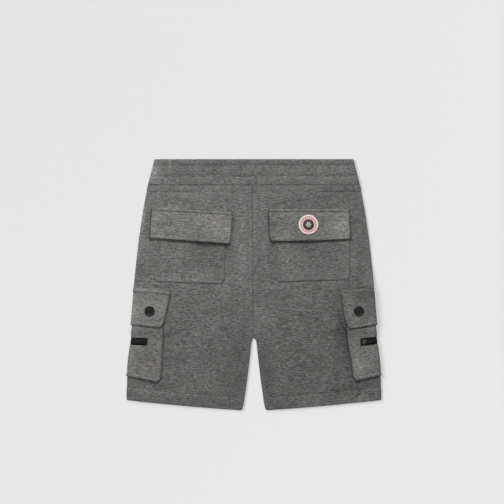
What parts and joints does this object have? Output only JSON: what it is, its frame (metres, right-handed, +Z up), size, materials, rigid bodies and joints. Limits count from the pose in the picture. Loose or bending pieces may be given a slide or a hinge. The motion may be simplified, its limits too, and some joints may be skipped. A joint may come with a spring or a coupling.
{
  "type": "sweat shorts",
  "caption": "Heather grey sweat shorts laid flat with the back upwards: elastic waistband, back patch pockets with flaps, and cargo pockets with flap, press stud and short zip round each side.",
  "frame": {"origin": "under the middle of the laid-out shorts, on the surface they lie on", "axes": "+X to the wearer's right, +Y to the waist, +Z up from the surface, out of the back of the shorts"},
  "size_m": [0.3824, 0.3748, 0.0147],
  "materials": {
    "sweat_heather": "grey heather sweatshirt cloth, matt, with streaks across",
    "pocket_heather": "the same cloth, on pockets and flaps that catch more light",
    "zip_tape": "black zip tape and nylon coil",
    "black_metal": "black enamelled metal, half gloss",
    "patch_twill": "embroidered twill with an overlocked off-white rim"
  },
  "bodies": {
    "shorts": {"left_back_flap": "pocket_heather", "left_back_panel": "sweat_heather", "left_back_pocket": "sweat_heather", "left_cargo_bag": "pocket_heather", "left_cargo_flap": "pocket_heather", "left_cargo_gusset": "sweat_heather", "left_front_panel": "sweat_heather", "left_snap_cap": "black_metal", "left_zip": "zip_tape", "left_zip_slider": "black_metal", "right_back_flap": "pocket_heather", "right_back_panel": "sweat_heather", "right_back_pocket": "sweat_heather", "right_cargo_bag": "pocket_heather", "right_cargo_flap": "pocket_heather", "right_cargo_gusset": "sweat_heather", "right_front_panel": "sweat_heather", "right_snap_cap": "black_metal", "right_zip": "zip_tape", "right_zip_slider": "black_metal", "round_patch": "patch_twill", "waistband_back": "sweat_heather", "waistband_front": "sweat_heather"},
    "left_pull": {"left_zip_pull": "black_metal"},
    "right_pull": {"right_zip_pull": "black_metal"}
  },
  "joints": [
    {"name": "left_pull_hinge", "type": "hinge", "parent": "shorts", "child": "left_pull", "pos_m": [-0.1662, -0.08563, 0.0106], "axis": [0.0459, 0.9989, 0], "range_deg": [0, 175]},
    {"name": "right_pull_hinge", "type": "hinge", "parent": "shorts", "child": "right_pull", "pos_m": [0.1662, -0.08588, 0.0106], "axis": [0.1254, -0.9921, 0], "range_deg": [0, 175]}
  ]
}
